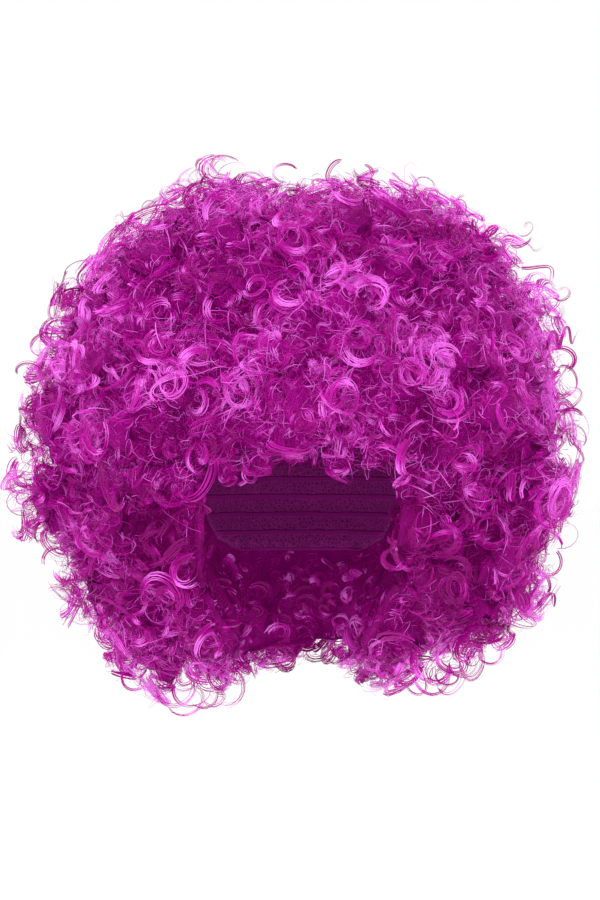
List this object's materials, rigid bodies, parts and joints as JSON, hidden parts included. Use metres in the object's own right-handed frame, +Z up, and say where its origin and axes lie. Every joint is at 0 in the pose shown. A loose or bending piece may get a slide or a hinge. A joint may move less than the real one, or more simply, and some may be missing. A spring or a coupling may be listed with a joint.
{
  "type": "afro wig",
  "caption": "Full round afro wig of glossy magenta synthetic curls on a stretch cap, with a short curly fringe and an open face.",
  "frame": {"origin": "where the crown of the wearer's head touches the inside of the cap", "axes": "+Z up through the crown, -Y out of the face opening, +X to the wearer's left"},
  "size_m": [0.3786, 0.3461, 0.347],
  "materials": {
    "hair": "glossy synthetic curls",
    "cap_net": "matt stretch net"
  },
  "bodies": {
    "root": {"cap": "cap_net", "crown_hair": "hair", "fringe_hair": "hair", "left_temple_hair": "hair", "right_temple_hair": "hair", "back_hair": "hair", "left_side_hair": "hair", "right_side_hair": "hair", "nape_hair": "hair"}
  },
  "joints": []
}
